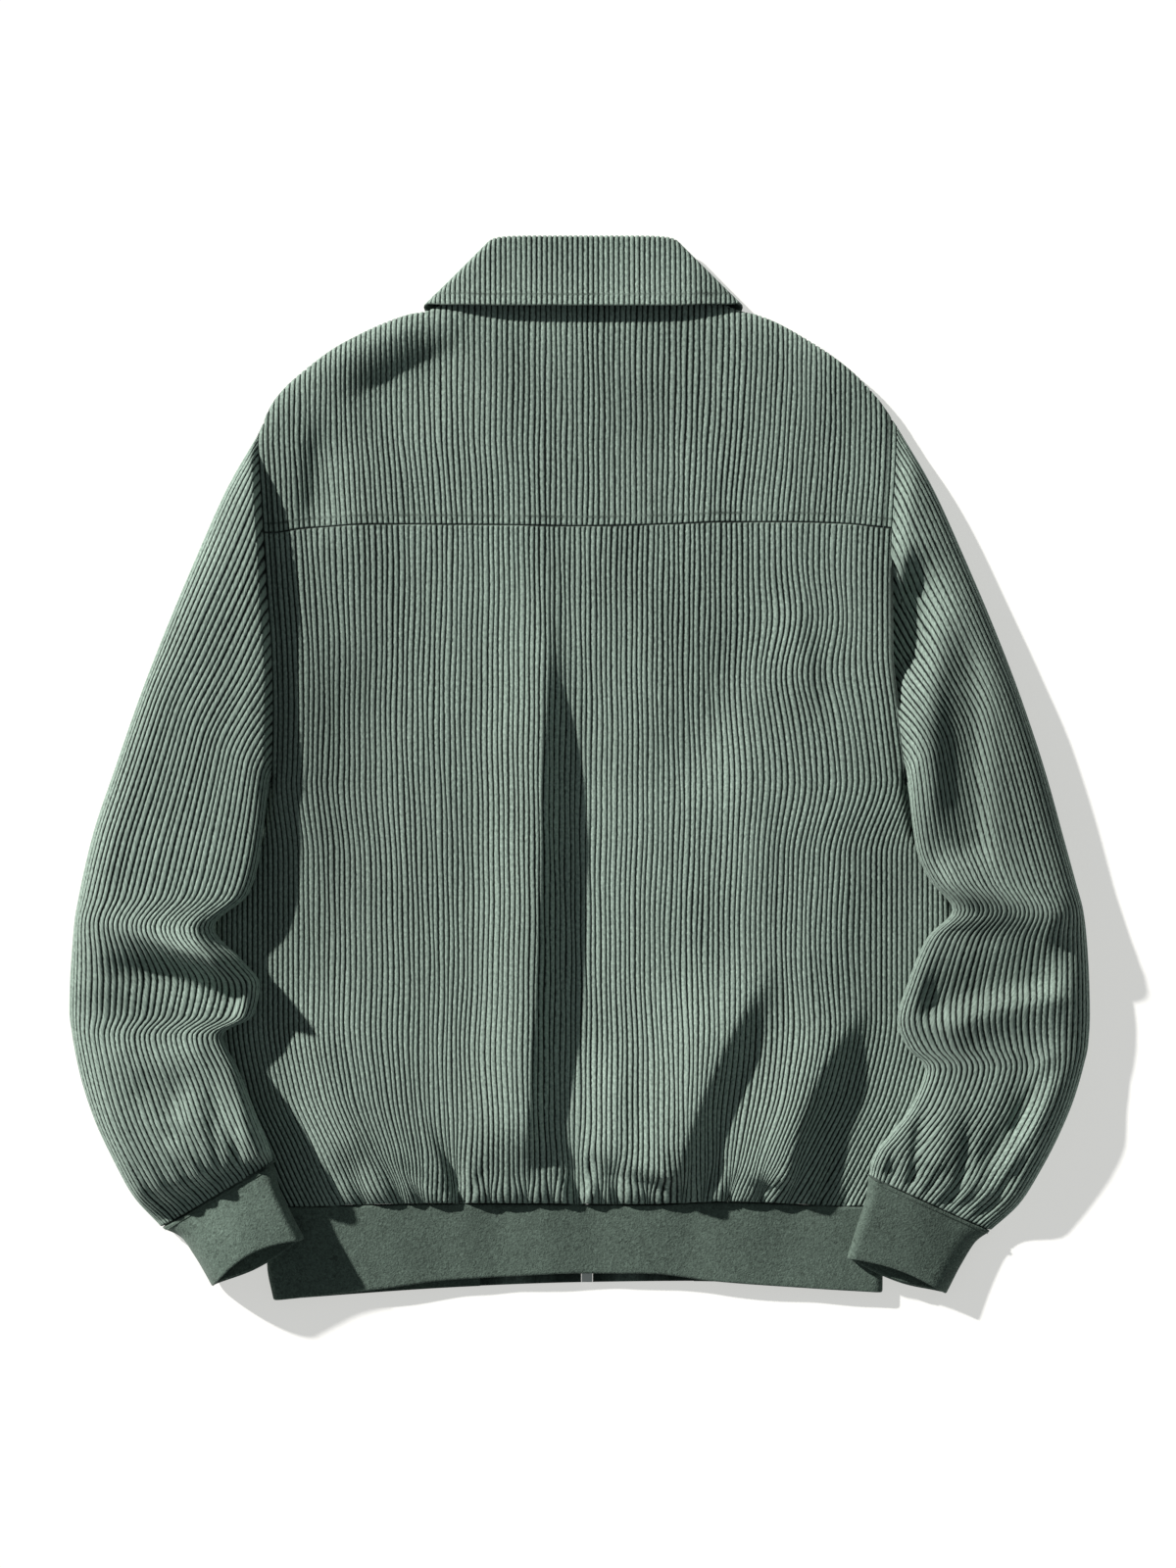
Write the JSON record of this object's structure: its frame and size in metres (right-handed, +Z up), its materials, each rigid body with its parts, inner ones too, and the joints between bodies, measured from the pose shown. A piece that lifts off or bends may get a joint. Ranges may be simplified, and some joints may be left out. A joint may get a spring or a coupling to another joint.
{
  "type": "corduroy jacket",
  "caption": "Sage green corduroy zip jacket with knit cuffs and hem band, laid flat on its front with the back up and the sleeves beside the body.",
  "frame": {"origin": "on the floor plane, at the middle of the laid-out jacket's bounding box seen from above", "axes": "+Y from the hem to the collar, +X to the wearer's right sleeve, +Z up, out of the jacket's back"},
  "size_m": [0.6961, 0.7258, 0.0567],
  "materials": {
    "corduroy": "sage green cotton corduroy, matt pile in lengthwise wales",
    "rib_knit": "dense smooth knit, a little darker than the corduroy",
    "zip_tape": "woven tape",
    "zip_metal": "satin metal"
  },
  "bodies": {
    "jacket": {"back_yoke": "corduroy", "back_panel": "corduroy", "front_left": "corduroy", "front_right": "corduroy", "sleeve_left": "corduroy", "sleeve_right": "corduroy", "cuff_left": "rib_knit", "cuff_right": "rib_knit", "hem_band": "rib_knit", "hem_tab_left": "corduroy", "hem_tab_right": "corduroy", "collar": "corduroy", "zip_tape_left": "zip_tape", "zip_tape_right": "zip_tape", "zip_box": "zip_metal", "zip_slider": "zip_metal"},
    "pull": {"zip_pull": "zip_metal"}
  },
  "joints": [
    {"name": "pull_swing", "type": "hinge", "parent": "jacket", "child": "pull", "pos_m": [0.005, 0.2312, 0.00135], "axis": [1, 0, 0], "range_deg": [0, 170]}
  ]
}
